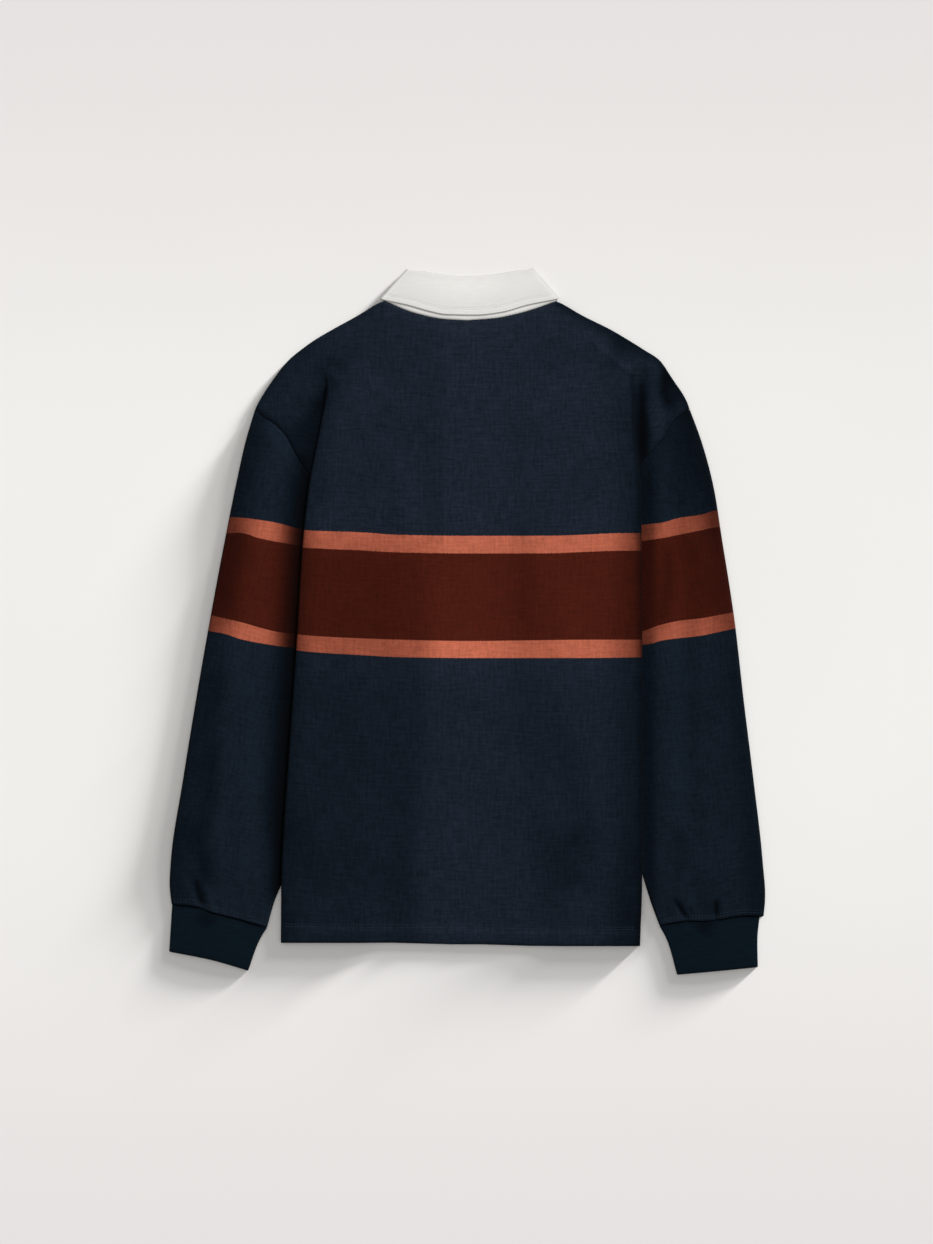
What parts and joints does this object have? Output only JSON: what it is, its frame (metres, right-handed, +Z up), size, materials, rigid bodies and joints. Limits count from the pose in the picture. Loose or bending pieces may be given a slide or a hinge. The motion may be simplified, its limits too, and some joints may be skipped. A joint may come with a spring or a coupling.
{
  "type": "long-sleeve polo shirt",
  "caption": "Long-sleeve polo shirt with hooped body and sleeves, rolled collar and ribbed cuffs, laid flat face down with the sides of the body folded under.",
  "frame": {"origin": "on the surface the shirt lies on, under the middle of its outline", "axes": "+X across the shirt, to the right as its back is seen; +Y from hem to collar; +Z up, out of the back panel"},
  "size_m": [0.6714, 0.7979, 0.0081],
  "materials": {
    "navy_jersey": "matte",
    "navy_rib": "matte",
    "white_twill": "matte",
    "button_white": "satin"
  },
  "bodies": {
    "root": {"back": "navy_jersey", "front": "navy_jersey", "sleeve_left": "navy_jersey", "sleeve_right": "navy_jersey", "cuff_left": "navy_rib", "cuff_right": "navy_rib", "collar": "white_twill", "placket_top": "white_twill", "placket_under": "white_twill", "button_1": "button_white", "button_2": "button_white", "button_3": "button_white"}
  },
  "joints": []
}
